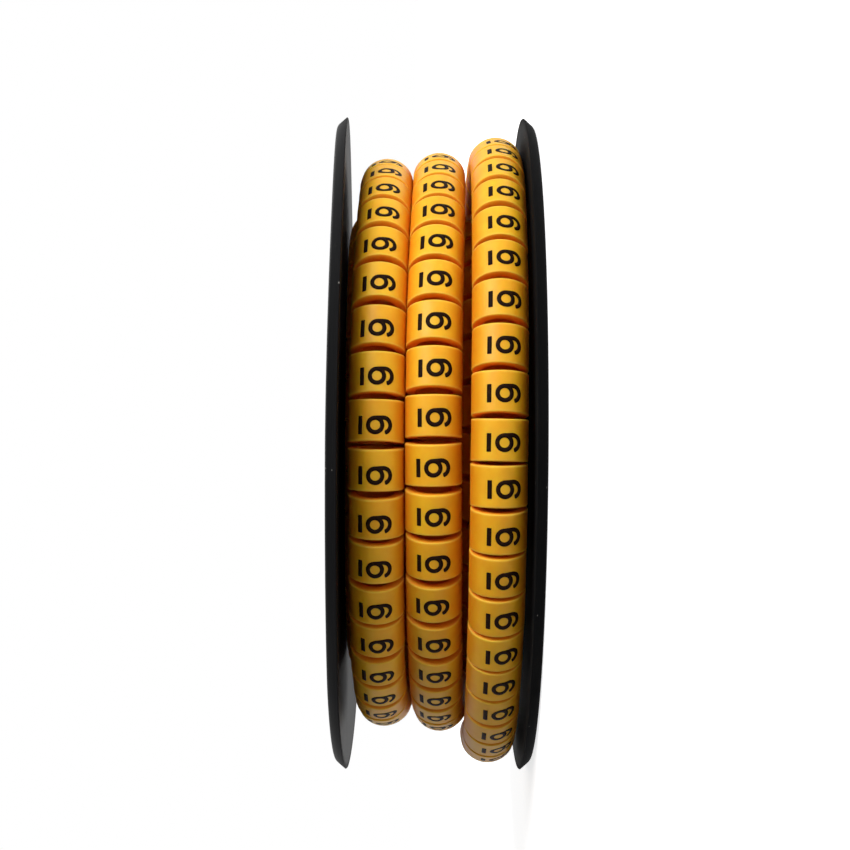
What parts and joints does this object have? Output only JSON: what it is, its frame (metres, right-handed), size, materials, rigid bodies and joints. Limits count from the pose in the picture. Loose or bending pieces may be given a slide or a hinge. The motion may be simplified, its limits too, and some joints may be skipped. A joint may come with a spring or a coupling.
{
  "type": "reel of cable markers",
  "caption": "Black two-part plastic reel wound with a strip of yellow cable marker sleeves that tear off one by one.",
  "frame": {"origin": "centre of the lower flange's outer face, on the reel's axis", "axes": "+Z along the reel's axis, from the lower flange to the upper one; -Y towards the side that shows in the picture, with the foot of each printed figure towards +Z"},
  "size_m": [0.09, 0.09, 0.0269],
  "materials": {
    "reel_plastic": "black moulded plastic, satin",
    "marker_plastic": "soft yellow plastic, satin",
    "print_ink": "black print"
  },
  "bodies": {
    "root": {"lower_reel_half": "reel_plastic", "upper_reel_half": "reel_plastic", "marker_strip": "marker_plastic"}
  },
  "joints": []
}
